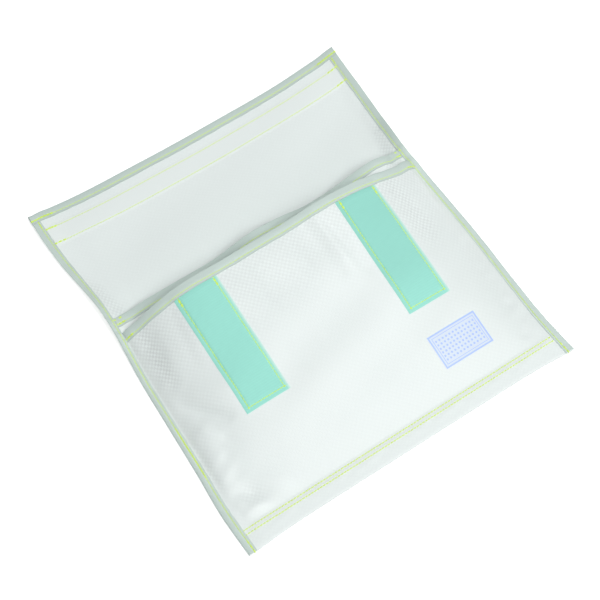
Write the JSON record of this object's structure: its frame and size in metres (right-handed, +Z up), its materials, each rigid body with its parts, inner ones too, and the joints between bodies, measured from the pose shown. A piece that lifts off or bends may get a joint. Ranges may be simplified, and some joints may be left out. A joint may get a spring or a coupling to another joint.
{
  "type": "fire-resistant battery bag",
  "caption": "Flat sewn envelope bag of white woven glass cloth with gaping pockets, taped edges and a wide open flap that folds up and over onto loop tapes.",
  "frame": {"origin": "centre of the footprint with the flap open flat, on the surface that the bag lies on", "axes": "+Z up, +Y from the bottom fold to the end of the open flap, +X across the bag"},
  "size_m": [0.38, 0.432, 0.0481],
  "materials": {
    "glass_cloth": "smooth woven cloth with a slight sheen",
    "binding_tape": "ribbed woven tape",
    "hook_tape": "low moulded hooks",
    "loop_tape": "soft napped loop tape"
  },
  "bodies": {
    "bag": {"back_panel": "glass_cloth", "divider_panel": "glass_cloth", "front_panel": "glass_cloth", "front_mouth_binding": "binding_tape", "divider_mouth_binding": "binding_tape", "loop_tape_left": "loop_tape", "loop_tape_right": "loop_tape", "side_binding_left": "binding_tape", "side_binding_right": "binding_tape"},
    "fold_strip": {"fold_strip": "glass_cloth", "strip_binding_left": "binding_tape", "strip_binding_right": "binding_tape"},
    "flap": {"flap_panel": "glass_cloth", "hook_tape": "hook_tape", "flap_end_binding": "binding_tape", "flap_binding_left": "binding_tape", "flap_binding_right": "binding_tape"}
  },
  "joints": [
    {"name": "flap_rise", "type": "hinge", "parent": "bag", "child": "fold_strip", "pos_m": [0, 0.068, 0.001], "axis": [1, 0, 0], "range_deg": [0, 90]},
    {"name": "flap_close", "type": "hinge", "parent": "fold_strip", "child": "flap", "pos_m": [0, 0.12438, 0.001], "axis": [1, 0, 0], "range_deg": [0, 100.8]}
  ],
  "couplings": [
    {"joint": "flap_close", "follows": "flap_rise", "ratio": 1.1199}
  ]
}
